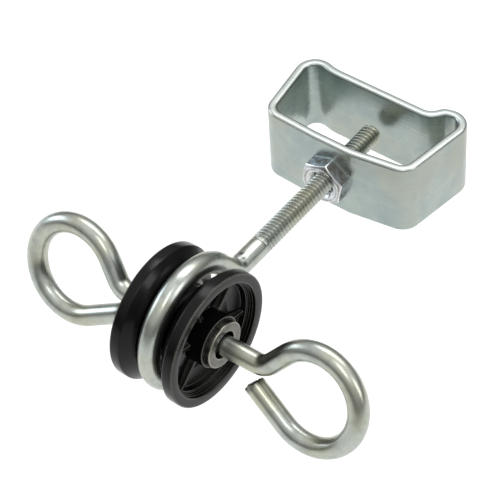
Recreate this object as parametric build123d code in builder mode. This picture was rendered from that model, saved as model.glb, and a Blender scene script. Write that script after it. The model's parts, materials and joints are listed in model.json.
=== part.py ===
from build123d import *
import os
from math import acos, atan2, cos, degrees, hypot, radians, sin, sqrt

# Post-clamp gate insulator: a closed strap clamps on a fence post, an eye bolt
# presses on the post through the front wall, and a two-part spool with a
# double-ended hook bar turns in the bolt's eye.
#
# Frame, in millimetres: the origin is where the bolt axis meets the inside
# of the rear wall, on which the post is seated. +Y runs along the bolt from
# the eye to the post, +Z is up along the post, and the hook bar lies along X.

# clamp band: flat strap bent to a closed loop, wider at the rear. The front
# wall stands a little askew and both rear corners bulge behind the seat.
BAND_HEIGHT = 24.3
STRAP = 2.7
INNER_DEPTH = 22.0
NUT_SEAT_HALF = 6.5
FRONT_LEFT = (-24.3, -23.9)
FRONT_RIGHT = (24.8, -21.9)
REAR_RIGHT = (29.5, 9.2)
JOG_RIGHT = (18.4, 6.4)
SEAT_RIGHT = 15.5
SEAT_LEFT = -17.0
REAR_LEFT = (-28.6, 5.7)
REAR_CORNER = 6.0
SEAT_BEND = 4.0
JOG_BEND = 3.5
FRONT_CORNER = 5.8
CROWN_BEND = 16.0
STRAP_EDGE = 0.5

# eye bolt: one rod, its end bent to a ring round the bolt axis
ROD_R = 3.15
TIP_Y = -3.1
TIP_CHAMFER = 0.9
EYE_CENTRE = (-90.2, -1.8)
EYE_R = 17.5
EYE_NECK_Y = -67.6
EYE_NECK_R = 4.8
EYE_END_ANGLE = 14.0
EYE_END_CHAMFER = 0.3

# bores that the bolt's thread runs in
THREAD_CLEARANCE = 0.05

# lock nut on the front wall
NUT_FLATS = 12.9
NUT_HEIGHT = 4.8
NUT_TURN = 20.0
NUT_FACE_R = 5.7
NUT_CORNER_CUT = 0.9
NUT_SINK_R = 4.5
NUT_SINK_DEPTH = 2.4

# insulator spool: two like halves that meet in the middle of the groove
AXIS_Y = -91.4
AXIS_Z = -2.15
FLANGE_R = 20.2
HALF_WIDTH = 10.75
RIM_WIDTH = 3.3
WALL_BREAK = (4.3, 16.6)
WALL_FOOT = (3.7, 12.6)
HUB_R = 11.4
HUB_FOOT_X = 2.6
LIP_R = 17.2
LIP_FOOT = (7.9, 17.0)
LEDGE_R = 16.3
FLOOR_OUT = (6.1, 16.0)
FLOOR_IN = (5.4, 11.0)
BOSS_R = 7.8
BOSS_X = 11.2
RIM_ROUND = 0.6
RIB_COUNT = 6
RIB_PHASE = -18.0
RIB_THICK = 1.3
RIB_TOP_X = 7.2
RIB_FOOT_X = 4.9
RIB_BITE = 0.2

# steel sleeve through the spool
SLEEVE_R = 7.0
SLEEVE_BORE_R = 4.1
SLEEVE_HALF = 13.2
SLEEVE_EDGE = 0.4
BUSH_CLEARANCE = 0.05

# hook bar: one rod through the sleeve with an open loop at each end
BAR_R = 3.0
BAR_SHIFT = 1.9
BAR_TILT = 69.9
BAR_NECK_X = 21.8
BAR_NECK_R = 6.0
LOOP_X = 41.2
LOOP_OFFSET = -1.6
LOOP_R = 13.9
BAR_TIP = (22.3, -6.6)
BAR_TIP_CHAMFER = 0.35

os.makedirs("parts", exist_ok=True)

FRONT_Y = -INNER_DEPTH - STRAP
HOLE_R = ROD_R + THREAD_CLEARANCE


# clamp band
band_corners = {
    (-NUT_SEAT_HALF, FRONT_Y): CROWN_BEND,
    (NUT_SEAT_HALF, FRONT_Y): CROWN_BEND,
    FRONT_RIGHT: FRONT_CORNER,
    REAR_RIGHT: REAR_CORNER,
    JOG_RIGHT: JOG_BEND,
    (SEAT_RIGHT, STRAP): SEAT_BEND,
    (SEAT_LEFT, STRAP): CROWN_BEND,
    REAR_LEFT: REAR_CORNER,
    FRONT_LEFT: FRONT_CORNER,
}
with BuildPart() as clamp_band:
    with BuildSketch(Plane.XY.offset(-BAND_HEIGHT / 2)) as loop_sketch:
        with BuildLine():
            Polyline(*band_corners, close=True)
        make_face()
        for (corner_x, corner_y), bend in band_corners.items():
            corner = loop_sketch.vertices().sort_by_distance((corner_x, corner_y, -BAND_HEIGHT / 2))[0]
            fillet(corner, bend)
        offset(amount=-STRAP, kind=Kind.ARC, mode=Mode.SUBTRACT)
    extrude(amount=BAND_HEIGHT)
    long_edges = clamp_band.edges().group_by(Axis.Z)
    fillet(long_edges[0] + long_edges[-1], STRAP_EDGE)
    with BuildSketch(Plane.XZ.offset(INNER_DEPTH - STRAP)):
        Circle(HOLE_R)
    extrude(amount=3 * STRAP, mode=Mode.SUBTRACT)
clamp_band.part.label = "clamp_band"
export_step(clamp_band.part, "parts/clamp_band.step")


# lock nut
nut_face = Plane.XZ.offset(-FRONT_Y)
with BuildPart() as lock_nut:
    with BuildSketch(nut_face):
        RegularPolygon(NUT_FLATS / 2, 6, major_radius=False, rotation=NUT_TURN)
    extrude(amount=NUT_HEIGHT)
    corner_r = NUT_FLATS / sqrt(3) + 0.2
    face_y = FRONT_Y - NUT_HEIGHT
    with BuildSketch(Plane.YZ):
        with BuildLine():
            Polyline(
                (FRONT_Y, 0),
                (FRONT_Y, corner_r),
                (face_y + NUT_CORNER_CUT, corner_r),
                (face_y, NUT_FACE_R),
                (face_y, 0),
                close=True,
            )
        make_face()
    revolve(axis=Axis.Y, mode=Mode.INTERSECT)
    with BuildSketch(Plane.YZ):
        with BuildLine():
            Polyline(
                (FRONT_Y, 0),
                (FRONT_Y, HOLE_R),
                (face_y + NUT_SINK_DEPTH, HOLE_R),
                (face_y, NUT_SINK_R),
                (face_y, 0),
                close=True,
            )
        make_face()
    revolve(axis=Axis.Y, mode=Mode.SUBTRACT)
lock_nut.part.label = "lock_nut"
export_step(lock_nut.part, "parts/lock_nut.step")


# eye bolt
neck_y = EYE_NECK_Y - EYE_CENTRE[0]
neck_z = EYE_NECK_R - EYE_CENTRE[1]
neck_away = hypot(neck_y, neck_z)
neck_angle = degrees(atan2(neck_z, neck_y)) + degrees(acos((EYE_R + EYE_NECK_R) / neck_away))
neck_run = sqrt(neck_away**2 - (EYE_R + EYE_NECK_R) ** 2)
with BuildPart() as eye_bolt:
    with BuildLine(Plane.YZ):
        shank = Line((TIP_Y, 0), (EYE_NECK_Y, 0))
        neck = JernArc(shank @ 1, shank % 1, EYE_NECK_R, neck_angle - 90)
        rise = PolarLine(neck @ 1, neck_run, direction=neck % 1)
        JernArc(rise @ 1, rise % 1, EYE_R, 360 - neck_angle - EYE_END_ANGLE)
    with BuildSketch(Plane.XZ.offset(-TIP_Y)):
        Circle(ROD_R)
    sweep()
    tip_rim = eye_bolt.edges().filter_by(GeomType.CIRCLE).sort_by(Axis.Y)[-1]
    chamfer(tip_rim, TIP_CHAMFER)
    end_face = eye_bolt.faces().filter_by(GeomType.PLANE).sort_by(Axis.Y)[0]
    chamfer(end_face.edges(), EYE_END_CHAMFER)
eye_bolt.part.label = "eye_bolt"
export_step(eye_bolt.part, "parts/eye_bolt.step")


# insulator halves
spool_plane = Plane((0, AXIS_Y, AXIS_Z), x_dir=(1, 0, 0), z_dir=(0, -1, 0))
spool_axis = Axis((0, AXIS_Y, AXIS_Z), (1, 0, 0))
bush_r = SLEEVE_R + BUSH_CLEARANCE
with BuildPart() as insulator_right:
    with BuildSketch(spool_plane) as half_profile:
        with BuildLine():
            Polyline(
                (0, bush_r),
                (0, HUB_R),
                (HUB_FOOT_X, HUB_R),
                WALL_FOOT,
                WALL_BREAK,
                (HALF_WIDTH - RIM_WIDTH, FLANGE_R),
                (HALF_WIDTH, FLANGE_R),
                (HALF_WIDTH, LIP_R),
                LIP_FOOT,
                (LIP_FOOT[0], LEDGE_R),
                FLOOR_OUT,
                FLOOR_IN,
                (FLOOR_IN[0], BOSS_R),
                (BOSS_X, BOSS_R),
                (BOSS_X, bush_r),
                close=True,
            )
        make_face()
        rounded = half_profile.vertices().filter_by(
            lambda v: abs(v.X) > HALF_WIDTH - RIM_WIDTH - 0.01 and v.Z > AXIS_Z + LIP_R - 0.01
        )
        fillet(rounded, RIM_ROUND)
    revolve(axis=spool_axis)
    rib_plane = Plane((RIB_TOP_X, AXIS_Y, AXIS_Z), x_dir=(0, 1, 0), z_dir=(1, 0, 0))
    rib_start = BOSS_R - 2 * RIB_BITE
    rib_length = LEDGE_R + RIB_BITE - rib_start
    with BuildSketch(rib_plane):
        with PolarLocations(rib_start + rib_length / 2, RIB_COUNT, RIB_PHASE):
            Rectangle(rib_length, RIB_THICK)
    extrude(amount=RIB_FOOT_X - RIB_TOP_X)
insulator_right.part.label = "insulator_right"
export_step(insulator_right.part, "parts/insulator_right.step")

with BuildPart() as insulator_left:
    mirror(insulator_right.part, about=Plane.YZ)
insulator_left.part.label = "insulator_left"
export_step(insulator_left.part, "parts/insulator_left.step")


# sleeve
with BuildPart() as hub_sleeve:
    sleeve_plane = Plane((-SLEEVE_HALF, AXIS_Y, AXIS_Z), x_dir=(0, 1, 0), z_dir=(1, 0, 0))
    with BuildSketch(sleeve_plane):
        Circle(SLEEVE_R)
        Circle(SLEEVE_BORE_R, mode=Mode.SUBTRACT)
    extrude(amount=2 * SLEEVE_HALF)
    chamfer(hub_sleeve.edges().filter_by(GeomType.CIRCLE), SLEEVE_EDGE)
hub_sleeve.part.label = "hub_sleeve"
export_step(hub_sleeve.part, "parts/hub_sleeve.step")


# hook bar
bend_x = BAR_NECK_X - LOOP_X
bend_d = BAR_NECK_R - LOOP_OFFSET
bend_away = hypot(bend_x, bend_d)
loop_start = degrees(atan2(bend_d, bend_x)) - degrees(acos((LOOP_R + BAR_NECK_R) / bend_away))
bend_run = sqrt(bend_away**2 - (LOOP_R + BAR_NECK_R) ** 2)
tip_dx = BAR_TIP[0] - LOOP_X
tip_dy = BAR_TIP[1] - LOOP_OFFSET
tip_reach = hypot(tip_dx, tip_dy)
loop_stop = 360 + degrees(atan2(tip_dy, tip_dx)) + degrees(acos(LOOP_R / tip_reach))
loop_travel = 360 - (loop_stop - loop_start)
tip_run = sqrt(tip_reach**2 - LOOP_R**2)
bar_plane = Plane(
    (BAR_SHIFT, AXIS_Y, AXIS_Z),
    x_dir=(1, 0, 0),
    z_dir=(0, -sin(radians(BAR_TILT)), cos(radians(BAR_TILT))),
)
with BuildPart() as hook_bar:
    with BuildLine(bar_plane):
        run = Line((0, 0), (BAR_NECK_X, 0))
        bend = JernArc(run @ 1, run % 1, BAR_NECK_R, loop_start - 90)
        lean = PolarLine(bend @ 1, bend_run, direction=bend % 1)
        loop = JernArc(lean @ 1, lean % 1, LOOP_R, -loop_travel)
        PolarLine(loop @ 1, tip_run, direction=loop % 1)
    with BuildSketch(Plane((BAR_SHIFT, AXIS_Y, AXIS_Z), x_dir=(0, 1, 0), z_dir=(1, 0, 0))):
        Circle(BAR_R)
    sweep()
    bar_ends = hook_bar.faces().filter_by(GeomType.PLANE).filter_by(
        lambda f: abs(f.center().X - BAR_SHIFT) > 1
    )
    chamfer(bar_ends.edges(), BAR_TIP_CHAMFER)
    mirror(about=Plane((BAR_SHIFT, 0, 0), z_dir=(1, 0, 0)))
hook_bar.part.label = "hook_bar"
export_step(hook_bar.part, "parts/hook_bar.step")
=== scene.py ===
import json
import math

import bmesh
import bpy
import numpy as np
from mathutils import Matrix, Vector


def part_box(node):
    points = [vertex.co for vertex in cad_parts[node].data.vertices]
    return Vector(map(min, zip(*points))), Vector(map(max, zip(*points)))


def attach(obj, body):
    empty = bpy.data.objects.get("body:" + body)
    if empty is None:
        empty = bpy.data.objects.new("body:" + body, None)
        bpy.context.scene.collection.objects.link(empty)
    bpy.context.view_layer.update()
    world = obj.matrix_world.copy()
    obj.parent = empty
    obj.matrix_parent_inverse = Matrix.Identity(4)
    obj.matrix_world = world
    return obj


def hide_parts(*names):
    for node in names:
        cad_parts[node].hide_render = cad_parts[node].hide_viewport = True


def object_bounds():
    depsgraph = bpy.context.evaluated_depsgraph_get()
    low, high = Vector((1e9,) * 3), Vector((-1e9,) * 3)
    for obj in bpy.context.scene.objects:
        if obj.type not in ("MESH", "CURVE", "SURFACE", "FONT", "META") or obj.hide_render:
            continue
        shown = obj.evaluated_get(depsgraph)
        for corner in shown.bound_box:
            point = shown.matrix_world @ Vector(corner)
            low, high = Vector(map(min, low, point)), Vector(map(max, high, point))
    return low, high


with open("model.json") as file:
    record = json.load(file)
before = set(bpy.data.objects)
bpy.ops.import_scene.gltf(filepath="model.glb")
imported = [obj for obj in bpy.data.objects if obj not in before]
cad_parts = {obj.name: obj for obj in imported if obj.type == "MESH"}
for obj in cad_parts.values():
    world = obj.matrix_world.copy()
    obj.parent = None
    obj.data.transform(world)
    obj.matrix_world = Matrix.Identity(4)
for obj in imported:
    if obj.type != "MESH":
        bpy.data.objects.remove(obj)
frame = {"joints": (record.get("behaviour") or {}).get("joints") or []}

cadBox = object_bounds()
mm = 0.001
joints = {joint["name"]: joint for joint in frame["joints"]}
spoolAxis = Vector(joints["spool_turn"]["pos_m"])
xAxis = Vector((1, 0, 0))


# small helpers

def toLinear(code):
    channels = [int(code[i:i + 2], 16) / 255 for i in (1, 3, 5)]
    return [c / 12.92 if c <= 0.04045 else ((c + 0.055) / 1.055) ** 2.4 for c in channels] + [1.0]


def addNode(tree, kind, links=None, **settings):
    node = tree.nodes.new(kind)
    for name, value in settings.items():
        setattr(node, name, value)
    for key, value in (links or {}).items():
        if isinstance(value, bpy.types.NodeSocket):
            tree.links.new(value, node.inputs[key])
        else:
            node.inputs[key].default_value = value
    return node


def newMaterial(name, finish):
    # finish holds the numbers that are the same all over the surface
    material = bpy.data.materials.new(name)
    material.use_nodes = True
    tree = material.node_tree
    shader = tree.nodes["Principled BSDF"]
    for socket, value in finish.items():
        shader.inputs[socket].default_value = value
    return material, tree, shader


def joinShader(tree, shader, colour, roughness, bump):
    for socket, value in (("Base Color", colour), ("Roughness", roughness), ("Normal", bump)):
        tree.links.new(value, shader.inputs[socket])


def newTree(name, sockets):
    # a Geometry Nodes tree with named inputs: (name, socket type)
    tree = bpy.data.node_groups.new(name, "GeometryNodeTree")
    tree.interface.new_socket("Geometry", in_out="INPUT", socket_type="NodeSocketGeometry")
    for label, kind in sockets:
        tree.interface.new_socket(label, in_out="INPUT", socket_type=kind)
    tree.interface.new_socket("Geometry", in_out="OUTPUT", socket_type="NodeSocketGeometry")
    return tree, addNode(tree, "NodeGroupInput").outputs


def endTree(tree, geometry, material):
    # instances are made real and the finish is set last
    real = addNode(tree, "GeometryNodeRealizeInstances", {"Geometry": geometry})
    done = addNode(tree, "GeometryNodeSetMaterial", {"Geometry": real.outputs[0], "Material": material})
    addNode(tree, "NodeGroupOutput", {"Geometry": done.outputs[0]})


def runTree(name, baseMesh, tree, values):
    # runs a tree on a mesh and keeps the result as a plain mesh
    holder = bpy.data.objects.new(name + "Holder", baseMesh)
    bpy.context.scene.collection.objects.link(holder)
    modifier = holder.modifiers.new(tree.name, "NODES")
    modifier.node_group = tree
    for item in tree.interface.items_tree:
        if item.in_out == "INPUT" and item.name in values:
            modifier[item.identifier] = values[item.name]
    evaluated = holder.evaluated_get(bpy.context.evaluated_depsgraph_get())
    plain = bpy.data.meshes.new_from_object(evaluated)
    bpy.data.objects.remove(holder)
    plain.name = name
    return plain


def addPiece(name, mesh, body, node, material, smoothAngle):
    # faces that meet at less than smoothAngle, in degrees, are shaded as one
    piece = bpy.data.objects.new(name, mesh)
    bpy.context.scene.collection.objects.link(piece)
    mesh.materials.clear()
    mesh.materials.append(material)
    mesh.shade_smooth()
    mesh.set_sharp_from_angle(angle=math.radians(smoothAngle))
    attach(piece, body)
    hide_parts(node)


def tidyMesh(mesh, mergeAt=0.002 * mm):
    # welds seams, drops slivers, closes open ends and turns every face outwards
    work = bmesh.new()
    work.from_mesh(mesh)
    bmesh.ops.remove_doubles(work, verts=work.verts, dist=mergeAt)
    bmesh.ops.dissolve_degenerate(work, edges=work.edges, dist=mergeAt)
    bmesh.ops.holes_fill(work, edges=[e for e in work.edges if e.is_boundary])
    bmesh.ops.recalc_face_normals(work, faces=work.faces)
    work.to_mesh(mesh)
    work.free()
    return mesh


def markWear(mesh, gentle=12, sharp=19):
    # 1 on outer corners, which rub bright, 0 on flat faces; the angles are in degrees
    work = bmesh.new()
    work.from_mesh(mesh)
    layer = work.verts.layers.float.new("wearAndSheen")
    for edge in work.edges:
        turn = math.degrees(edge.calc_face_angle_signed(0))
        for vertex in edge.verts:
            vertex[layer] = max(vertex[layer], min(1.0, max(0.0, (turn - gentle) / (sharp - gentle))))
    work.to_mesh(mesh)
    work.free()


def pointsOf(mesh):
    points = np.zeros(len(mesh.vertices) * 3)
    mesh.vertices.foreach_get("co", points)
    return points.reshape(-1, 3)


def keepSpace(mesh, name, points):
    # a place for each point that a pattern can follow, instead of the one in the frame
    mesh.attributes.new(name, "FLOAT_VECTOR", "POINT").data.foreach_set("vector", points.ravel())


def pathMesh(name, points, closed=False):
    mesh = bpy.data.meshes.new(name)
    count = len(points)
    edges = [(i, i + 1) for i in range(count - 1)] + ([(count - 1, 0)] if closed else [])
    mesh.from_pydata([tuple(p) for p in points], edges, [])
    return mesh


def arc(centre, radius, startDegrees, endDegrees, stepDegrees=2.0):
    steps = max(2, round(abs(endDegrees - startDegrees) / stepDegrees))
    angles = [math.radians(startDegrees + (endDegrees - startDegrees) * i / steps)
              for i in range(steps + 1)]
    return [Vector((centre[0] + radius * math.cos(a), centre[1] + radius * math.sin(a)))
            for a in angles]


def straight(start, end, stepLength=1.0 * mm):
    start, end = Vector(start), Vector(end)
    steps = max(1, round((end - start).length / stepLength))
    return [start.lerp(end, i / steps) for i in range(steps + 1)]


def joinPath(*parts):
    points = []
    for part in parts:
        for point in part:
            if not points or (point - points[-1]).length > 0.01 * mm:
                points.append(point)
    return points


def roundCorners(points, radii, steps):
    # a closed outline whose corners are arcs of the given radii
    points = [Vector(p) for p in points]
    out = []
    for i, corner in enumerate(points):
        radius = radii[i]
        if radius <= 0:
            out.append(corner)
            continue
        back = (points[i - 1] - corner).normalized()
        ahead = (points[(i + 1) % len(points)] - corner).normalized()
        half = back.angle(ahead) / 2
        reach = radius / math.tan(half)
        centre = corner + (back + ahead).normalized() * (radius / math.sin(half))
        first, last = corner + back * reach - centre, corner + ahead * reach - centre
        turn = first.angle_signed(last)
        for k in range(steps + 1):
            a = -turn * k / steps
            out.append(centre + Vector((first.x * math.cos(a) - first.y * math.sin(a),
                                        first.x * math.sin(a) + first.y * math.cos(a))))
    return out


def skinRings(name, rings, closed=True):
    # a skin over rings of points, from the last one back to the first where closed
    mesh = bpy.data.meshes.new(name)
    rows, total = len(rings[0]), len(rings)
    faces = []
    for k in range(total if closed else total - 1):
        this, following = k * rows, (k + 1) % total * rows
        faces += [(this + i, this + (i + 1) % rows, following + (i + 1) % rows, following + i)
                  for i in range(rows)]
    mesh.from_pydata([point for ring in rings for point in ring], [], faces)
    return tidyMesh(mesh)


def turnAboutX(name, profile, centre, sides):
    # profile is a closed list of (x, radius)
    rings = []
    for k in range(sides):
        a = 2 * math.pi * k / sides
        rings.append([(x, centre.y + radius * math.cos(a), centre.z + radius * math.sin(a))
                      for x, radius in profile])
    return skinRings(name, rings)


# finishes

# each finish: sizes in mm, and roughness and ramp as a low and a high end
rodLook = {"base": "#B5BAB4", "dark": "#A1A6A0", "tint": "#B2AE8C", "grimeAndPaintedLight": "#2E2F2A",
           "ramp": (0.32, 0.54), "mottleSize": 3.5, "tintSize": 11, "tintMost": 0.5,
           "drawnLine": 0.45, "dingSize": 2.2, "roughness": (0.24, 0.36), "bump": 0.25, "bumpDepth": 0.05}


def zincRod():
    # zinc plated cold-drawn steel: bright, with faint draw lines along the rod, a yellow
    # passivate tint in patches, and a dark mix: residue where tools pressed, painted shade in thread roots
    # and the eye's bend, and painted light on cropped ends
    material, tree, shader = newMaterial("zincPlatedDrawnRod", {"Metallic": 1.0})
    look = rodLook
    place = addNode(tree, "ShaderNodeTexCoord").outputs["Object"]
    rodSpace = addNode(tree, "ShaderNodeAttribute", attribute_name="rodSpace").outputs["Vector"]
    mottle = addNode(tree, "ShaderNodeTexNoise", {
        "Vector": place, "Scale": 1 / (look["mottleSize"] * mm), "Detail": 4.0, "Roughness": 0.55})
    shade = addNode(tree, "ShaderNodeValToRGB", {"Fac": mottle.outputs["Fac"]})
    for stop, at, colour in zip(shade.color_ramp.elements, look["ramp"], (look["dark"], look["base"])):
        stop.position = at
        stop.color = toLinear(colour)
    patch = addNode(tree, "ShaderNodeTexNoise", {
        "Vector": place, "Scale": 1 / (look["tintSize"] * mm), "Detail": 2.0})
    patchMask = addNode(tree, "ShaderNodeMapRange", {
        "Value": patch.outputs["Fac"], "From Min": 0.42, "From Max": 0.70, "To Min": 0.0,
        "To Max": look["tintMost"]})
    tinted = addNode(tree, "ShaderNodeMix", {
        "Factor": patchMask.outputs[0], "A": shade.outputs["Color"], "B": toLinear(look["tint"])},
        data_type="RGBA")
    # the dark mix is residue, painted shade in thread roots and bend creases, and dark cut ends left lighter
    # along their break as a painted highlight
    grimeAndPaintedLight = addNode(tree, "ShaderNodeAttribute", attribute_name="grimeAndPaintedLight").outputs["Fac"]
    grimeAndLightMixed = addNode(tree, "ShaderNodeMix", {
        "Factor": grimeAndPaintedLight, "A": tinted.outputs["Result"], "B": toLinear(look["grimeAndPaintedLight"])}, data_type="RGBA")
    # draw lines: fine round the rod, long along it, and as coarse as they need to be to show
    stretch = addNode(tree, "ShaderNodeMapping", {"Vector": rodSpace, "Scale": (1, 1, 0.03)})
    lines = addNode(tree, "ShaderNodeTexNoise", {
        "Vector": stretch.outputs[0], "Scale": 1 / (look["drawnLine"] * mm), "Detail": 3.0,
        "Roughness": 0.7})
    rough = addNode(tree, "ShaderNodeMapRange", {
        "Value": lines.outputs["Fac"], "From Min": 0.3, "From Max": 0.7, "To Min": look["roughness"][0],
        "To Max": look["roughness"][1]})
    dings = addNode(tree, "ShaderNodeTexNoise", {
        "Vector": place, "Scale": 1 / (look["dingSize"] * mm), "Detail": 2.0})
    relief = addNode(tree, "ShaderNodeMath", {0: lines.outputs["Fac"], 1: 0.3, 2: dings.outputs["Fac"]},
                     operation="MULTIPLY_ADD")
    bump = addNode(tree, "ShaderNodeBump", {
        "Height": relief.outputs[0], "Strength": look["bump"], "Distance": look["bumpDepth"] * mm})
    joinShader(tree, shader, grimeAndLightMixed.outputs["Result"], rough.outputs[0], bump.outputs[0])
    return material


strapLook = {"base": "#A6B0AB", "cloud": "#98A4A3", "warm": "#A7A79B", "edge": "#C2C8C5",
             "ramp": (0.34, 0.60), "cloudSize": 7.0, "warmSize": 16, "warmMost": 0.6,
             "edgeReach": (0.8, 0.1), "edgeMost": 0.5, "rollLine": 0.75, "grainSize": 0.5,
             "roughness": (0.24, 0.36), "bump": 0.3, "bumpDepth": 0.03}
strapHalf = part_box("clamp_band")[1].z


def zincStrap():
    # zinc plated hot-rolled strap: satin, cloudy, with short scratches along the strap
    material, tree, shader = newMaterial("zincPlatedRolledStrap", {"Metallic": 1.0})
    look = strapLook
    place = addNode(tree, "ShaderNodeTexCoord").outputs["Object"]
    strapSpace = addNode(tree, "ShaderNodeAttribute", attribute_name="strapSpace").outputs["Vector"]
    cloud = addNode(tree, "ShaderNodeTexNoise", {
        "Vector": place, "Scale": 1 / (look["cloudSize"] * mm), "Detail": 5.0, "Roughness": 0.6})
    shade = addNode(tree, "ShaderNodeValToRGB", {"Fac": cloud.outputs["Fac"]})
    for stop, at, colour in zip(shade.color_ramp.elements, look["ramp"], (look["cloud"], look["base"])):
        stop.position = at
        stop.color = toLinear(colour)
    warmth = addNode(tree, "ShaderNodeTexNoise", {
        "Vector": place, "Scale": 1 / (look["warmSize"] * mm), "Detail": 1.0})
    warmMask = addNode(tree, "ShaderNodeMapRange", {
        "Value": warmth.outputs["Fac"], "From Min": 0.45, "From Max": 0.7, "To Min": 0.0,
        "To Max": look["warmMost"]})
    warmed = addNode(tree, "ShaderNodeMix", {
        "Factor": warmMask.outputs[0], "A": shade.outputs["Color"], "B": toLinear(look["warm"])},
        data_type="RGBA")
    # rubbed bright along the strap's long edges
    height = addNode(tree, "ShaderNodeMath", {
        0: addNode(tree, "ShaderNodeSeparateXYZ", {0: place}).outputs["Z"]}, operation="ABSOLUTE")
    edge = addNode(tree, "ShaderNodeMapRange", {
        "Value": height.outputs[0], "From Min": strapHalf - look["edgeReach"][0] * mm,
        "From Max": strapHalf - look["edgeReach"][1] * mm, "To Min": 0.0, "To Max": look["edgeMost"]})
    rubbed = addNode(tree, "ShaderNodeMix", {
        "Factor": edge.outputs[0], "A": warmed.outputs["Result"], "B": toLinear(look["edge"])},
        data_type="RGBA")
    stretch = addNode(tree, "ShaderNodeMapping", {"Vector": strapSpace, "Scale": (0.04, 1, 1)})
    lines = addNode(tree, "ShaderNodeTexNoise", {
        "Vector": stretch.outputs[0], "Scale": 1 / (look["rollLine"] * mm), "Detail": 4.0,
        "Roughness": 0.7})
    rough = addNode(tree, "ShaderNodeMapRange", {
        "Value": lines.outputs["Fac"], "From Min": 0.3, "From Max": 0.7, "To Min": look["roughness"][0],
        "To Max": look["roughness"][1]})
    grain = addNode(tree, "ShaderNodeTexNoise", {
        "Vector": place, "Scale": 1 / (look["grainSize"] * mm), "Detail": 2.0})
    relief = addNode(tree, "ShaderNodeMath", {0: lines.outputs["Fac"], 1: 0.5, 2: grain.outputs["Fac"]},
                     operation="MULTIPLY_ADD")
    bump = addNode(tree, "ShaderNodeBump", {
        "Height": relief.outputs[0], "Strength": look["bump"], "Distance": look["bumpDepth"] * mm})
    joinShader(tree, shader, rubbed.outputs["Result"], rough.outputs[0], bump.outputs[0])
    return material


nutLook = {"base": "#B0B5BD", "dark": "#766E68", "worn": "#D8DADA", "ramp": (0.35, 0.62), "cloudSize": 2.6,
           "detail": 5.0, "breakUp": 0.65, "roughness": (0.34, 0.16), "bump": 0.12, "bumpDepth": 0.05}
tubeLook = {"base": "#6E6D67", "dark": "#585650", "worn": "#908E84", "ramp": (0.35, 0.65), "cloudSize": 2.0,
            "detail": 4.0, "breakUp": 0.5, "roughness": (0.22, 0.34), "bump": 0.3, "bumpDepth": 0.04}


def cloudyZinc(name, look):
    # zinc plate on a small piece: cloudy, and rubbed bright on its outer corners
    material, tree, shader = newMaterial(name, {"Metallic": 1.0})
    place = addNode(tree, "ShaderNodeTexCoord").outputs["Object"]
    cloud = addNode(tree, "ShaderNodeTexNoise", {
        "Vector": place, "Scale": 1 / (look["cloudSize"] * mm), "Detail": look["detail"],
        "Roughness": look["breakUp"]})
    shade = addNode(tree, "ShaderNodeValToRGB", {"Fac": cloud.outputs["Fac"]})
    for stop, at, colour in zip(shade.color_ramp.elements, look["ramp"], (look["dark"], look["base"])):
        stop.position = at
        stop.color = toLinear(colour)
    rough = addNode(tree, "ShaderNodeMapRange", {
        "Value": cloud.outputs["Fac"], "From Min": 0.3, "From Max": 0.7, "To Min": look["roughness"][0],
        "To Max": look["roughness"][1]})
    bump = addNode(tree, "ShaderNodeBump", {
        "Height": cloud.outputs["Fac"], "Strength": look["bump"], "Distance": look["bumpDepth"] * mm})
    wearAndSheen = addNode(tree, "ShaderNodeAttribute", attribute_name="wearAndSheen").outputs["Fac"]
    worn = addNode(tree, "ShaderNodeMix", {
        "Factor": wearAndSheen, "A": shade.outputs["Color"], "B": toLinear(look["worn"])}, data_type="RGBA")
    joinShader(tree, shader, worn.outputs["Result"], rough.outputs[0], bump.outputs[0])
    return material


plasticLook = {"base": "#0C0C0B", "dark": "#050505", "scuffAndSheen": "#6A6A64", "flowSize": 6, "skinSize": 0.35,
               "roughness": (0.14, 0.24), "gloss": 0.2, "bump": 0.25, "bumpDepth": 0.03}


def mouldedPlastic():
    # injection-moulded black nylon: satin skin with a fine mould texture and slight flow shading
    look = plasticLook
    material, tree, shader = newMaterial("mouldedBlackNylon", {
        "Metallic": 0.0, "IOR": 1.5, "Specular IOR Level": look["gloss"]})
    place = addNode(tree, "ShaderNodeTexCoord").outputs["Object"]
    flow = addNode(tree, "ShaderNodeTexNoise", {
        "Vector": place, "Scale": 1 / (look["flowSize"] * mm), "Detail": 3.0})
    shade = addNode(tree, "ShaderNodeValToRGB", {"Fac": flow.outputs["Fac"]})
    for stop, colour in zip(shade.color_ramp.elements, (look["dark"], look["base"])):
        stop.color = toLinear(colour)
    skin = addNode(tree, "ShaderNodeTexNoise", {
        "Vector": place, "Scale": 1 / (look["skinSize"] * mm), "Detail": 3.0})
    rough = addNode(tree, "ShaderNodeMapRange", {
        "Value": flow.outputs["Fac"], "From Min": 0.3, "From Max": 0.7, "To Min": look["roughness"][0],
        "To Max": look["roughness"][1]})
    bump = addNode(tree, "ShaderNodeBump", {
        "Height": skin.outputs["Fac"], "Strength": look["bump"], "Distance": look["bumpDepth"] * mm})
    # scuffs on corners, and the light patch of dust and painted reflection inside each lip, broken up by the
    # skin
    wearAndSheen = addNode(tree, "ShaderNodeAttribute", attribute_name="wearAndSheen").outputs["Fac"]
    rubbed = addNode(tree, "ShaderNodeMath", {0: wearAndSheen, 1: skin.outputs["Fac"]}, operation="MULTIPLY")
    scuffedAndSheened = addNode(tree, "ShaderNodeMix", {
        "Factor": rubbed.outputs[0], "A": shade.outputs["Color"], "B": toLinear(look["scuffAndSheen"])},
        data_type="RGBA")
    joinShader(tree, shader, scuffedAndSheened.outputs["Result"], rough.outputs[0], bump.outputs[0])
    return material


rodMetal, strapMetal, plastic = zincRod(), zincStrap(), mouldedPlastic()
# the cold-formed nut has bluish bright faces with brownish shading and tool scuffs
nutMetal = cloudyZinc("zincPlatedFormedNut", nutLook)
# the tube is cut to length: duller than the rod, with brighter rims at its ends
tubeMetal = cloudyZinc("zincPlatedTube", tubeLook)
print("finishes made")


# rods that follow a path

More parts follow.
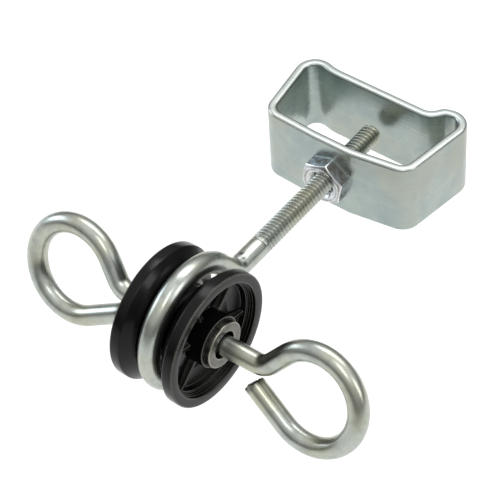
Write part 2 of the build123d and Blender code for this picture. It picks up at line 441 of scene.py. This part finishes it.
def rodTree():
    tree, given = newTree("rodAlongPath", [("Rod Radius", "NodeSocketFloat"), ("Sides", "NodeSocketInt"),
                                           ("Finish", "NodeSocketMaterial")])
    path = addNode(tree, "GeometryNodeMeshToCurve", {"Mesh": given["Geometry"]})
    along = addNode(tree, "GeometryNodeSplineParameter")
    marked = addNode(tree, "GeometryNodeStoreNamedAttribute",
                     {"Geometry": path.outputs[0], "Name": "alongRod", "Value": along.outputs["Length"]})
    ring = addNode(tree, "GeometryNodeCurvePrimitiveCircle", {
        "Resolution": given["Sides"], "Radius": given["Rod Radius"]})
    around = addNode(tree, "GeometryNodeSplineParameter")
    ringMarked = addNode(tree, "GeometryNodeStoreNamedAttribute", {
        "Geometry": ring.outputs[0], "Name": "aroundRod", "Value": around.outputs["Factor"]})
    swept = addNode(tree, "GeometryNodeCurveToMesh", {
        "Curve": marked.outputs[0], "Profile Curve": ringMarked.outputs[0]})
    endTree(tree, swept.outputs[0], given["Finish"])
    return tree


def markRodSpace(mesh, radius):
    # the place on an unbent rod, for draw lines that follow every bend
    count = len(mesh.vertices)
    along, around = np.zeros(count), np.zeros(count)
    mesh.attributes["alongRod"].data.foreach_get("value", along)
    mesh.attributes["aroundRod"].data.foreach_get("value", around)
    angle = around * 2 * math.pi
    keepSpace(mesh, "rodSpace", np.stack([radius * np.cos(angle), radius * np.sin(angle), along], axis=1))


def addGrimeAndLight(mesh, amounts):
    # 0 where the plating is clean, towards 1 where dark residue and painted shade cover it
    mesh.attributes.new("grimeAndPaintedLight", "FLOAT", "POINT").data.foreach_set("value", amounts)


def pressMark(mesh, centre, reach, push, markDark):
    # a smooth dent, as a bending tool leaves, darkened with the residue it traps; in the eye bolt's bend the
    # dark is also painted shade in the crease
    for vertex, grimeAndPaintedLight in zip(mesh.vertices, mesh.attributes["grimeAndPaintedLight"].data):
        near = 1 - (vertex.co - centre).length / reach
        if near > 0:
            near = near * near * (3 - 2 * near)
            vertex.co += push * near
            grimeAndPaintedLight.value = max(grimeAndPaintedLight.value, min(1.0, markDark * near * 1.6))


def shearEnd(mesh, centre, outward, across, radius, step, residue):
    # a cropped end: one half breaks off proud of the other by step, with a torn ridge
    # between, and residue runs a little way down the rod; the end face is darkened, and lighter along the
    # ridge as a painted highlight
    work = bmesh.new()
    work.from_mesh(mesh)
    caps = [f for f in work.faces
            if len(f.verts) > 20 and (f.calc_center_median() - centre).length < radius]
    for inset in (0.12, 0.25, 0.35, 0.4, 0.4, 0.4, 0.4):
        bmesh.ops.inset_region(work, faces=caps, thickness=inset * mm, use_even_offset=True)
    grimeAndLightLayer = work.verts.layers.float.get("grimeAndPaintedLight")
    side = outward.cross(across)
    for vertex in work.verts:
        away = vertex.co - centre
        depth = away.dot(outward)
        u, v = away.dot(across) / radius, away.dot(side) / radius
        if math.hypot(u, v) > 1.05 or not -residue < depth < 1 * mm:
            continue
        if depth < -0.05 * mm:
            vertex[grimeAndLightLayer] = max(0.0, 1 + depth / residue) * 0.9
            continue
        # the break runs a little askew, where fromBreak is 0
        fromBreak = u + 0.25 * v
        half = 0.5 - 0.5 * math.tanh(fromBreak * 7)
        ripple = 0.08 * math.sin(9 * u + 4 * v) * math.cos(11 * v)
        torn = math.exp(-(fromBreak * 5) ** 2) * 0.35 + ripple
        rim = max(0.0, math.hypot(u, v) - 0.9) * 3
        vertex.co += outward * (step * half + torn * mm - rim * mm)
        # dark over the end face, lighter along the break: a painted highlight on the torn ridge
        vertex[grimeAndLightLayer] = 0.95 - 0.8 * math.exp(-(fromBreak * 4) ** 2)
    work.to_mesh(mesh)
    work.free()


bendRod = rodTree()

# eye bolt
boltLow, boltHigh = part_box("eye_bolt")
eyeBolt = {"centre": (-90.2 * mm, -1.8 * mm), "neckY": -67.6 * mm, "neckRadius": 4.8 * mm, "endAngle": 14.0,
           "sides": 48, "pitch": 1.27 * mm, "turns": 44, "threadDepth": 0.66 * mm, "tipChamfer": 0.9 * mm,
           "rowsPerTurn": 12, "rootShade": 0.45, "cleanTip": 1.5 * mm, "markDepth": 0.22 * mm,
           "markGrimeAndShade": 0.7,
           # where the bending tool pressed, in the crease of the bend, in mm: x, y, z and reach; their dark
           # is residue and painted shade
           "marks": [(-0.6, -65.6, 3.0, 1.1), (0.9, -66.7, 2.9, 1.3), (2.2, -67.4, 2.2, 1.0),
                     (-2.4, -66.9, 2.0, 0.9)]}
rodRadius = (boltHigh.x - boltLow.x) / 2
eyeRadius = eyeBolt["centre"][0] - boltLow.y - rodRadius
threadLength = eyeBolt["pitch"] * eyeBolt["turns"]


def threadTree():
    sizes = [("Rod Radius", "NodeSocketFloat"), ("Sides", "NodeSocketInt"), ("Pitch", "NodeSocketFloat"),
             ("Turns", "NodeSocketInt"), ("Rows Per Turn", "NodeSocketInt"), ("Depth", "NodeSocketFloat"),
             ("Tip Radius", "NodeSocketFloat"), ("Tip Y", "NodeSocketFloat")]
    tree, given = newTree("boltThread", sizes + [("Finish", "NodeSocketMaterial")])
    at = addNode(tree, "ShaderNodeSeparateXYZ", {0: addNode(tree, "GeometryNodeInputPosition").outputs[0]})
    found = {label: given[label] for label, kind in sizes}
    found.update({"gridX": at.outputs["X"], "gridY": at.outputs["Y"]})
    capRows = 2.0
    # each sum has a name, what is done, and what goes in: a name from above or a number
    sums = [
        ("spareTurns", "ADD", "Turns", 1.0),
        ("rows", "MULTIPLY_ADD", "spareTurns", "Rows Per Turn", capRows),
        ("rowPoints", "ADD", "rows", 1.0),
        ("sidePoints", "ADD", "Sides", 1.0),
        # the grid's own place gives the row along the rod and the turn round it
        ("fromFirst", "MULTIPLY_ADD", "rows", 0.5, "gridX"),
        ("row", "ROUND", "fromFirst"),
        ("fromSide", "MULTIPLY_ADD", "Sides", 0.5, "gridY"),
        ("side", "ROUND", "fromSide"),
        ("turn", "DIVIDE", "side", "Sides"),
        ("angle", "MULTIPLY", "turn", 2 * math.pi),
        # rows lean with the helix, so every crest runs along mesh edges
        ("threadRow", "SUBTRACT", "row", capRows),
        ("rowTurns", "DIVIDE", "threadRow", "Rows Per Turn"),
        ("leaning", "ADD", "rowTurns", "turn"),
        ("turnsAlong", "SUBTRACT", "leaning", 1.0),
        ("length", "MULTIPLY", "Turns", "Pitch"),
        ("unclipped", "MULTIPLY", "turnsAlong", "Pitch"),
        ("fromTip", "MAXIMUM", "unclipped", 0.0),
        ("along", "MINIMUM", "fromTip", "length"),
        # a V groove with a narrow flat on its crest, which runs out before the plain shank
        ("phase", "FRACT", "rowTurns"),
        ("saw", "MULTIPLY_ADD", "phase", 2.0, -1.0),
        ("flank", "ABSOLUTE", "saw"),
        ("valley", "SUBTRACT", 1.0, "flank"),
        ("cut", "MULTIPLY_ADD", "valley", 1.25, -0.12),
        ("left", "SUBTRACT", "length", "along"),
        ("runOut", "MULTIPLY", "Pitch", 1.6),
        ("fade", "DIVIDE", "left", "runOut"),
        ("fadedCut", "MULTIPLY", "cut", "fade"),
        ("groove", "MULTIPLY", "fadedCut", "Depth"),
        ("threaded", "SUBTRACT", "Rod Radius", "groove"),
        # the chamfered tip, closed by the first rows
        ("chamfer", "ADD", "Tip Radius", "along"),
        ("outside", "MINIMUM", "threaded", "chamfer"),
        ("cap", "DIVIDE", "row", capRows),
        ("radius", "MULTIPLY", "outside", "cap"),
        ("cosine", "COSINE", "angle"),
        ("sine", "SINE", "angle"),
        ("placeX", "MULTIPLY", "radius", "cosine"),
        ("placeY", "SUBTRACT", "Tip Y", "along"),
        ("placeZ", "MULTIPLY", "radius", "sine")]
    clamped = ("cut", "fade", "cap")
    for name, operation, *terms in sums:
        values = {i: found.get(term, term) for i, term in enumerate(terms)}
        found[name] = addNode(tree, "ShaderNodeMath", values, operation=operation,
                              use_clamp=name in clamped).outputs[0]
    grid = addNode(tree, "GeometryNodeMeshGrid", {
        "Size X": found["rows"], "Size Y": given["Sides"], "Vertices X": found["rowPoints"],
        "Vertices Y": found["sidePoints"]})
    place = addNode(tree, "ShaderNodeCombineXYZ", {
        "X": found["placeX"], "Y": found["placeY"], "Z": found["placeZ"]})
    shaped = addNode(tree, "GeometryNodeSetPosition", {
        "Geometry": grid.outputs["Mesh"], "Position": place.outputs[0]})
    welded = addNode(tree, "GeometryNodeMergeByDistance", {
        "Geometry": shaped.outputs[0], "Distance": 0.002 * mm})
    endTree(tree, welded.outputs[0], given["Finish"])
    return tree


eyeCentre = Vector(eyeBolt["centre"])
neckCentre = Vector((eyeBolt["neckY"], eyeBolt["neckRadius"]))
neckAway = neckCentre - eyeCentre
# the rod runs straight between its two bends, touching both circles
neckAngle = math.degrees(math.atan2(neckAway.y, neckAway.x)) + math.degrees(
    math.acos((eyeRadius + eyeBolt["neckRadius"]) / neckAway.length))
neckBend = arc(neckCentre, eyeBolt["neckRadius"], -90, neckAngle - 180, 4.0)
eyeArc = arc(eyeCentre, eyeRadius, neckAngle, 360 - eyeBolt["endAngle"])
shankPath = joinPath(straight((boltHigh.y - threadLength, 0), (eyeBolt["neckY"], 0)), neckBend,
                     straight(neckBend[-1], eyeArc[0]), eyeArc)
eyeMesh = runTree("eyeBolt", pathMesh("eyePath", [(0, p.x, p.y) for p in shankPath]), bendRod,
                  {"Rod Radius": rodRadius, "Sides": eyeBolt["sides"], "Finish": rodMetal})
threadMesh = runTree("boltThread", bpy.data.meshes.new("threadStart"), threadTree(), {
    "Rod Radius": rodRadius, "Sides": eyeBolt["sides"], "Pitch": eyeBolt["pitch"],
    "Turns": eyeBolt["turns"], "Rows Per Turn": eyeBolt["rowsPerTurn"], "Depth": eyeBolt["threadDepth"],
    "Tip Radius": rodRadius - eyeBolt["tipChamfer"], "Tip Y": boltHigh.y, "Finish": rodMetal})
markRodSpace(eyeMesh, rodRadius)
keepSpace(threadMesh, "rodSpace", pointsOf(threadMesh)[:, [0, 2, 1]])
work = bmesh.new()
work.from_mesh(eyeMesh)
work.from_mesh(threadMesh)
work.to_mesh(eyeMesh)
work.free()
tidyMesh(eyeMesh)
# painted shade in the thread's roots, darker the deeper, but not at the tip
across, along, height = pointsOf(eyeMesh).T
threadEnd = boltHigh.y - threadLength - eyeBolt["pitch"]
inThread = (along > threadEnd) & (along < boltHigh.y - eyeBolt["cleanTip"])
sunk = np.clip((rodRadius - np.hypot(across, height)) / eyeBolt["threadDepth"], 0, 1)
addGrimeAndLight(eyeMesh, np.where(inThread, sunk ** 2 * eyeBolt["rootShade"], 0.0))
for x, y, z, reach in eyeBolt["marks"]:
    push = Vector((-x, 0, -z)).normalized() * eyeBolt["markDepth"]
    pressMark(eyeMesh, Vector((x, y, z)) * mm, reach * mm, push, eyeBolt["markGrimeAndShade"])
addPiece("eyeBolt", eyeMesh, "bolt", "eye_bolt", rodMetal, 40)
print("eye bolt made", len(eyeMesh.polygons))

# hook bar
barLow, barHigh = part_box("hook_bar")
hookBar = {"radius": 3.0 * mm, "tilt": 69.9, "neckX": 21.8 * mm, "neckRadius": 6.0 * mm,
           "loopCentre": (41.2 * mm, -1.6 * mm), "loopRadius": 13.9 * mm,
           "tip": (22.3 * mm, -6.6 * mm), "sides": 40, "cropStep": 0.35 * mm,
           "cropResidue": 2 * mm, "markDepth": 0.3 * mm,
           # where the bending tool pressed, in mm: along the bar, across the loop's plane, in
           # front of it, and reach; then how dark
           "marks": [(23.2, 3.0, 2.2, 2.3, 0.9), (25.9, 3.9, 2.0, 2.6, 1.0), (-25.6, 8.0, 2.0, 2.8, 0.9),
                     (-24.2, 5.6, 2.2, 2.4, 1.0), (-22.6, 3.2, 2.2, 2.0, 0.6), (26.4, 8.0, 1.6, 2.4, 0.5),
                     (-51.0, -3.6, 2.4, 1.7, 0.7), (-50.4, -6.2, 2.3, 1.5, 0.7),
                     (36.0, 12.3, 2.6, 0.8, 0.9)]}
barMiddle = Vector(((barLow.x + barHigh.x) / 2, spoolAxis.y, spoolAxis.z))
barUp = Vector((0, math.cos(math.radians(hookBar["tilt"])), math.sin(math.radians(hookBar["tilt"]))))


def hookPath():
    look = hookBar
    loopCentre, neckCentre = Vector(look["loopCentre"]), Vector((look["neckX"], look["neckRadius"]))
    away = neckCentre - loopCentre
    start = math.degrees(math.atan2(away.y, away.x)) - math.degrees(
        math.acos((look["loopRadius"] + look["neckRadius"]) / away.length))
    tipAway = Vector(look["tip"]) - loopCentre
    stop = math.degrees(math.atan2(tipAway.y, tipAway.x)) + math.degrees(
        math.acos(look["loopRadius"] / tipAway.length))
    neckBend = arc(neckCentre, look["neckRadius"], -90, start - 180, 4.0)
    loopArc = arc(loopCentre, look["loopRadius"], start, stop)
    return joinPath(straight((0, 0), (look["neckX"], 0), 1.5 * mm), neckBend,
                    straight(neckBend[-1], loopArc[0]), loopArc, straight(loopArc[-1], look["tip"]))


rightHalf = hookPath()
leftHalf = [Vector((-p.x, p.y)) for p in reversed(rightHalf)]
barPath = [barMiddle + xAxis * p.x + barUp * p.y for p in joinPath(leftHalf, rightHalf)]
barMesh = runTree("hookBar", pathMesh("barPath", barPath), bendRod,
                  {"Rod Radius": hookBar["radius"], "Sides": hookBar["sides"], "Finish": rodMetal})
markRodSpace(barMesh, hookBar["radius"])
tidyMesh(barMesh)
addGrimeAndLight(barMesh, np.zeros(len(barMesh.vertices)))
barNormal = xAxis.cross(barUp)
for along, up, lift, reach, markDark in hookBar["marks"]:
    spot = barMiddle + (xAxis * along + barUp * up + barNormal * -lift) * mm
    pressMark(barMesh, spot, reach * mm, barNormal * hookBar["markDepth"], markDark)
tipRun = (Vector(hookBar["tip"]) - rightHalf[-2]).normalized()
for side in (1, -1):
    tipPlace = barMiddle + xAxis * side * hookBar["tip"][0] + barUp * hookBar["tip"][1]
    outward = xAxis * side * tipRun.x + barUp * tipRun.y
    shearEnd(barMesh, tipPlace, outward, outward.cross(barNormal), hookBar["radius"], hookBar["cropStep"],
             hookBar["cropResidue"])
tidyMesh(barMesh, 0.001 * mm)
addPiece("hookBar", barMesh, "bar", "hook_bar", rodMetal, 40)
print("hook bar made", len(barMesh.polygons))

# clamp band
bandLow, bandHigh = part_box("clamp_band")
# in mm
clampBand = {"strap": 2.7, "edgeRound": 0.85, "holeRadius": 3.2,
             # corners of the loop's outside, each with its bend radius
             "corners": [(-6.5, -24.7, 16), (6.5, -24.7, 16), (24.8, -21.9, 5.8), (29.5, 9.2, 6),
                         (18.4, 6.4, 3.5), (15.5, 2.7, 4), (-17.0, 2.7, 16), (-28.6, 5.7, 6),
                         (-24.3, -23.9, 5.8)]}


def strapTree():
    tree, given = newTree("strapLoop", [
        ("Strap", "NodeSocketFloat"), ("Height", "NodeSocketFloat"), ("Edge Round", "NodeSocketFloat"),
        ("Hole Radius", "NodeSocketFloat"), ("Wall Y", "NodeSocketFloat"), ("Finish", "NodeSocketMaterial")])
    path = addNode(tree, "GeometryNodeMeshToCurve", {"Mesh": given["Geometry"]})
    upright = addNode(tree, "GeometryNodeSetCurveNormal", {"Curve": path.outputs[0]}, mode="Z_UP")
    along = addNode(tree, "GeometryNodeSplineParameter")
    marked = addNode(tree, "GeometryNodeStoreNamedAttribute", {
        "Geometry": upright.outputs[0], "Name": "alongStrap", "Value": along.outputs["Length"]})
    section = addNode(tree, "GeometryNodeCurvePrimitiveQuadrilateral", {
        "Width": given["Strap"], "Height": given["Height"]})
    rounded = addNode(tree, "GeometryNodeFilletCurve", {
        "Curve": section.outputs[0], "Count": 5, "Radius": given["Edge Round"]}, mode="POLY")
    swept = addNode(tree, "GeometryNodeCurveToMesh", {
        "Curve": marked.outputs[0], "Profile Curve": rounded.outputs[0]})
    # the drill is only longer than the wall is thick
    drill = addNode(tree, "GeometryNodeMeshCylinder", {
        "Vertices": 64, "Radius": given["Hole Radius"], "Depth": 20 * mm})
    aimed = addNode(tree, "GeometryNodeTransform", {
        "Geometry": drill.outputs["Mesh"], "Rotation": (math.pi / 2, 0, 0),
        "Translation": addNode(tree, "ShaderNodeCombineXYZ", {"Y": given["Wall Y"]}).outputs[0]})
    drilled = addNode(tree, "GeometryNodeMeshBoolean", {
        "Mesh 1": swept.outputs[0], "Mesh 2": aimed.outputs[0]}, operation="DIFFERENCE", solver="EXACT")
    endTree(tree, drilled.outputs[0], given["Finish"])
    return tree


def insetLoop(points, depth):
    # moves a closed outline inwards by depth, corner arcs included
    out = []
    for i, point in enumerate(points):
        ahead = (points[(i + 1) % len(points)] - point).normalized()
        back = (point - points[i - 1]).normalized()
        side = (ahead + back).normalized()
        out.append(point + Vector((-side.y, side.x)) * depth)
    return out


outerLoop = roundCorners([(x * mm, y * mm) for x, y, bend in clampBand["corners"]],
                         [bend * mm for x, y, bend in clampBand["corners"]], steps=12)
middleLoop = insetLoop(outerLoop, clampBand["strap"] * mm / 2)
bandPath = pathMesh("bandPath", [(p.x, p.y, 0) for p in middleLoop], closed=True)
bandMesh = runTree("clampBand", bandPath, strapTree(), {
    "Strap": clampBand["strap"] * mm, "Height": bandHigh.z - bandLow.z,
    "Edge Round": clampBand["edgeRound"] * mm, "Hole Radius": clampBand["holeRadius"] * mm,
    "Wall Y": bandLow.y, "Finish": strapMetal})
# the place on the unbent strap, for scratches that follow every bend
alongStrap = np.zeros(len(bandMesh.vertices))
bandMesh.attributes["alongStrap"].data.foreach_get("value", alongStrap)
unbent = pointsOf(bandMesh)
unbent[:, 0] = alongStrap
unbent[:, 1] = 0
keepSpace(bandMesh, "strapSpace", unbent)
tidyMesh(bandMesh)
addPiece("clampBand", bandMesh, "clamp", "clamp_band", strapMetal, 35)
print("clamp band made", len(bandMesh.polygons))

# lock nut
nutLow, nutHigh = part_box("lock_nut")
lockNut = {"flats": 12.9 * mm, "turn": 20.0, "faceRadius": 5.7 * mm, "cornerCut": 0.9 * mm,
           "sinkRadius": 4.55 * mm, "sinkDepth": 2.4 * mm, "boreRadius": 3.2 * mm, "cornerRound": 0.5 * mm}


def nutMesh():
    look = lockNut
    back, face = nutHigh.y, nutLow.y
    corner = look["flats"] / math.sqrt(3)
    hexagon = [(corner * math.cos(math.radians(look["turn"] + 60 * k)),
                corner * math.sin(math.radians(look["turn"] + 60 * k))) for k in range(6)]
    outline = []
    rounded = roundCorners(hexagon, [look["cornerRound"]] * 6, steps=4)
    for k, point in enumerate(rounded):
        following = rounded[(k + 1) % len(rounded)]
        steps = 12 if (following - point).length > 2 * mm else 1
        outline += [point.lerp(following, i / steps) for i in range(steps)]
    slope = look["cornerCut"] / (corner - look["faceRadius"])
    rings = []
    # each ring is a section from the bore out over the face, down the flat and back
    for point in outline:
        out = point.normalized()
        past = point.length - look["faceRadius"]
        drop = max(0.0, past) * slope
        row = [(look["boreRadius"], face + look["sinkDepth"]),
               (look["sinkRadius"] - 0.05 * mm, face + 0.12 * mm), (look["sinkRadius"] + 0.1 * mm, face),
               (look["faceRadius"] - 0.12 * mm, face),
               (look["faceRadius"] + past * 0.12, face + drop * 0.05)]
        row += [(look["faceRadius"] + past * share, face + drop * share ** 1.2) for share in (0.5, 0.9)]
        row += [(point.length, face + drop + 0.12 * mm), (point.length, face + drop + 0.40 * mm),
                (point.length, back - 0.55 * mm), (point.length, back - 0.25 * mm),
                (point.length - 0.15 * mm, back), (look["boreRadius"], back)]
        rings.append([(out.x * reach, y, out.y * reach) for reach, y in row])
    return skinRings("lockNut", rings)


nutShape = nutMesh()
markWear(nutShape, 10, 16)
addPiece("lockNut", nutShape, "nut", "lock_nut", nutMetal, 22)
print("lock nut made")

# spool halves
halfLow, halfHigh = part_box("insulator_right")
spool = {"rimWidth": 3.3 * mm, "wallBreak": (4.3 * mm, 16.6 * mm), "wallFoot": (3.7 * mm, 12.6 * mm),
         "hubRadius": 11.4 * mm, "hubFoot": 2.6 * mm, "lipRadius": 17.2 * mm,
         "lipFoot": (7.9 * mm, 17.0 * mm), "ledgeRadius": 16.3 * mm, "floorOut": (6.1 * mm, 16.0 * mm),
         "floorIn": (5.4 * mm, 11.0 * mm), "bossRadius": 7.8 * mm, "bossProud": 0.45 * mm,
         "boreRadius": 7.05 * mm, "sides": 160,
         # a light patch inside each lip, from the spool's centre: dust, and a painted reflection
         "dustSheenPlace": (9.3 * mm, -0.6 * mm, -17.1 * mm), "dustSheenReach": 9 * mm, "dustSheenMost": 0.45}
ribs = {"count": 6, "phase": -18.0, "thick": 1.3 * mm, "top": 7.2 * mm, "foot": 4.9 * mm, "inner": 7.4 * mm,
        "outer": 16.6 * mm, "flare": 0.55, "flareReach": 2.2 * mm}


def halfProfile():
    look, flange = spool, (halfHigh.z - halfLow.z) / 2
    bossEnd = halfHigh.x
    wide = bossEnd - look["bossProud"]
    # each corner of the section, as x and radius, with its rounding in mm
    corners = [
        ((0, look["boreRadius"]), 0), ((0, look["hubRadius"]), 0.25),
        ((look["hubFoot"], look["hubRadius"]), 0.8),
        (look["wallFoot"], 1.0), (look["wallBreak"], 1.5), ((wide - look["rimWidth"], flange), 0.6),
        ((wide, flange), 0.6), ((wide, look["lipRadius"]), 0.5)]
    # fine steps left by the mould round the inside of the lip
    lipTop, lipEnd = Vector((wide, look["lipRadius"])), Vector(look["lipFoot"])
    for share in (0.42, 0.72):
        step = lipTop.lerp(lipEnd, share)
        corners += [((step.x, step.y), 0.05), ((step.x - 0.02 * mm, step.y - 0.16 * mm), 0.05)]
    corners += [
        (look["lipFoot"], 0.3),
        ((look["lipFoot"][0], look["ledgeRadius"]), 0.25), (look["floorOut"], 0.4), (look["floorIn"], 0.8),
        ((look["floorIn"][0], look["bossRadius"]), 0.4), ((bossEnd, look["bossRadius"]), 0.3),
        ((bossEnd, look["boreRadius"]), 0.2)]
    return roundCorners([place for place, bend in corners], [bend * mm for place, bend in corners], steps=5)


def ribBlank():
    # one rib, lying along +Y from the axis, with drafted sides, a rounded top and flared ends
    look = ribs
    half = look["thick"] / 2
    section = roundCorners([(-half * 1.25, look["foot"]), (half * 1.25, look["foot"]),
                            (half * 0.8, look["top"]), (-half * 0.8, look["top"])],
                           [0, 0, 0.3 * mm, 0.3 * mm], steps=4)
    rings = []
    for radius in np.linspace(look["inner"], look["outer"], 15):
        fromEnd = min(radius - look["inner"], look["outer"] - radius) / look["flareReach"]
        flare = 1 + look["flare"] * max(0.0, 1 - fromEnd) ** 2
        rings.append([(p.y, radius, p.x * flare) for p in section])
    return skinRings("ribBlank", rings, closed=False)


def ribTree():
    tree, given = newTree("ribRing", [("Rib Count", "NodeSocketInt"), ("Phase", "NodeSocketFloat"),
                                      ("Axis Point", "NodeSocketVector"), ("Finish", "NodeSocketMaterial")])
    spots = addNode(tree, "GeometryNodePoints", {
        "Count": given["Rib Count"], "Position": given["Axis Point"]})
    share = addNode(tree, "ShaderNodeMath", {
        0: addNode(tree, "GeometryNodeInputIndex").outputs[0], 1: given["Rib Count"]}, operation="DIVIDE")
    angle = addNode(tree, "ShaderNodeMath", {0: share.outputs[0], 1: 2 * math.pi, 2: given["Phase"]},
                    operation="MULTIPLY_ADD")
    aboutX = addNode(tree, "ShaderNodeCombineXYZ", {"X": angle.outputs[0]})
    turned = addNode(tree, "FunctionNodeEulerToRotation", {0: aboutX.outputs[0]})
    placed = addNode(tree, "GeometryNodeInstanceOnPoints", {
        "Points": spots.outputs[0], "Instance": given["Geometry"], "Rotation": turned.outputs[0]})
    endTree(tree, placed.outputs[0], given["Finish"])
    return tree


ribMesh = runTree("ribs", ribBlank(), ribTree(), {
    "Rib Count": ribs["count"], "Phase": math.radians(ribs["phase"]), "Axis Point": spoolAxis,
    "Finish": plastic})
dustSheenX, dustSheenY, dustSheenZ = spool["dustSheenPlace"]
for side, name, node in ((1, "insulatorRight", "insulator_right"), (-1, "insulatorLeft", "insulator_left")):
    halfMesh = turnAboutX(name, halfProfile(), spoolAxis, spool["sides"])
    work = bmesh.new()
    work.from_mesh(halfMesh)
    work.from_mesh(ribMesh)
    bmesh.ops.scale(work, vec=(side, 1, 1), verts=work.verts)
    bmesh.ops.recalc_face_normals(work, faces=work.faces)
    work.to_mesh(halfMesh)
    work.free()
    markWear(halfMesh)
    # a lighter patch inside the lip: dust, and a painted reflection on the plastic
    dustSheenCentre = spoolAxis + Vector((side * dustSheenX, dustSheenY, dustSheenZ))
    for vertex, wearAndSheen in zip(halfMesh.vertices, halfMesh.attributes["wearAndSheen"].data):
        near = max(0.0, 1 - (vertex.co - dustSheenCentre).length / spool["dustSheenReach"])
        wearAndSheen.value = max(wearAndSheen.value, spool["dustSheenMost"] * near)
    addPiece(name, halfMesh, "spool", node, plastic, 30)
print("spool made")

# sleeve
sleeveLow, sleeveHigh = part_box("hub_sleeve")
sleeve = {"boreRadius": 4.1 * mm, "edge": 0.45 * mm, "sides": 96}
sleeveRadius = (sleeveHigh.z - sleeveLow.z) / 2
sleeveProfile = roundCorners(
    [(sleeveLow.x, sleeve["boreRadius"]), (sleeveLow.x, sleeveRadius), (sleeveHigh.x, sleeveRadius),
     (sleeveHigh.x, sleeve["boreRadius"])], [sleeve["edge"]] * 4, steps=4)
sleeveMesh = turnAboutX("hubSleeve", sleeveProfile, spoolAxis, sleeve["sides"])
markWear(sleeveMesh)
addPiece("hubSleeve", sleeveMesh, "sleeve", "hub_sleeve", tubeMetal, 40)
print("sleeve made")

# floor, light and camera
# lengths in metres; each light has its place from the object's centre, its width and height,
# its radiance in W per square metre and steradian, so that a size can change alone, and its colour
studio = {"floorDrop": 0.12, "floorHalf": 4, "floorColour": "#F7F7F5", "skyTop": 1.05, "skyLow": 0.20,
          "lights": {"topLight": ((-0.10, 0.42, 0.80), 0.80, 0.32, 3.8, "#FFFFFF"),
                     "sideLight": ((0.85, 0.10, 0.50), 0.30, 0.50, 3.0, "#FFFFFF"),
                     "leftLight": ((-0.90, -0.22, 0.32), 0.50, 0.40, 4.0, "#E4F0FF"),
                     "frontLight": ((0.28, -0.36, 0.85), 0.14, 0.40, 5.5, "#FFFFFF")}}
floorMesh = bpy.data.meshes.new("floor")
floorZ = cadBox[0].z - studio["floorDrop"]
reach = studio["floorHalf"]
floorMesh.from_pydata([(x * reach, y * reach, floorZ) for x, y in ((-1, -1), (1, -1), (1, 1), (-1, 1))], [],
                      [(0, 1, 2, 3)])
floor = bpy.data.objects.new("floor", floorMesh)
bpy.context.scene.collection.objects.link(floor)
# matt pale paper, so nothing mirrors in it
floorPaint = newMaterial("matPaleFloor", {
    "Roughness": 0.9, "Base Color": toLinear(studio["floorColour"])})[0]
floorMesh.materials.append(floorPaint)

world = bpy.data.worlds.new("studio")
bpy.context.scene.world = world
world.use_nodes = True
# a white ceiling that darkens towards the walls of the room
skyTree = world.node_tree
direction = addNode(skyTree, "ShaderNodeTexCoord").outputs["Generated"]
up = addNode(skyTree, "ShaderNodeSeparateXYZ", {0: direction}).outputs["Z"]
brightness = addNode(skyTree, "ShaderNodeMapRange", {
    "Value": up, "From Min": 0.15, "From Max": 0.85, "To Min": studio["skyLow"],
    "To Max": studio["skyTop"]})
# seen straight from the camera the room stays pale, so low views get a plain backdrop
seen = addNode(skyTree, "ShaderNodeMath", {
    0: addNode(skyTree, "ShaderNodeLightPath").outputs["Is Camera Ray"], 1: brightness.outputs[0]},
    operation="MAXIMUM")
skyTree.links.new(seen.outputs[0], skyTree.nodes["Background"].inputs["Strength"])
skyTree.nodes["Background"].inputs["Color"].default_value = (1, 1, 1, 1)

objectCentre = (cadBox[0] + cadBox[1]) / 2
for name, (offset, wide, tall, radiance, colour) in studio["lights"].items():
    lamp = bpy.data.lights.new(name, "AREA")
    lamp.shape, lamp.size, lamp.size_y = "RECTANGLE", wide, tall
    lamp.energy = radiance * math.pi * wide * tall
    lamp.color = toLinear(colour)[:3]
    stand = bpy.data.objects.new(name, lamp)
    stand.location = objectCentre + Vector(offset)
    stand.rotation_euler = (-Vector(offset)).to_track_quat("-Z", "Y").to_euler()
    bpy.context.scene.collection.objects.link(stand)
bpy.context.scene.view_settings.view_transform = "Standard"

# angles in degrees, place in metres in the frame, lens in mm on a 36 mm sensor
shot = {"azimuth": 40.041, "elevation": 46.78, "roll": -4.029, "place": (0.274791, -0.389625, 0.456593),
        "lens": 162.331}
azimuth, elevation, roll = (math.radians(shot[k]) for k in ("azimuth", "elevation", "roll"))
backward = Vector((math.sin(azimuth) * math.cos(elevation), -math.cos(azimuth) * math.cos(elevation),
                   math.sin(elevation)))
level = Vector((math.cos(azimuth), math.sin(azimuth), 0))
right = level * math.cos(roll) + backward.cross(level) * math.sin(roll)
camera = bpy.data.objects.new("camera", bpy.data.cameras.new("camera"))
camera.data.lens = shot["lens"]
camera.data.clip_start = 0.01
turned = Matrix((right, backward.cross(right), backward)).transposed().to_4x4()
camera.matrix_world = Matrix.Translation(shot["place"]) @ turned
bpy.context.scene.collection.objects.link(camera)
bpy.context.scene.camera = camera
print("studio made")
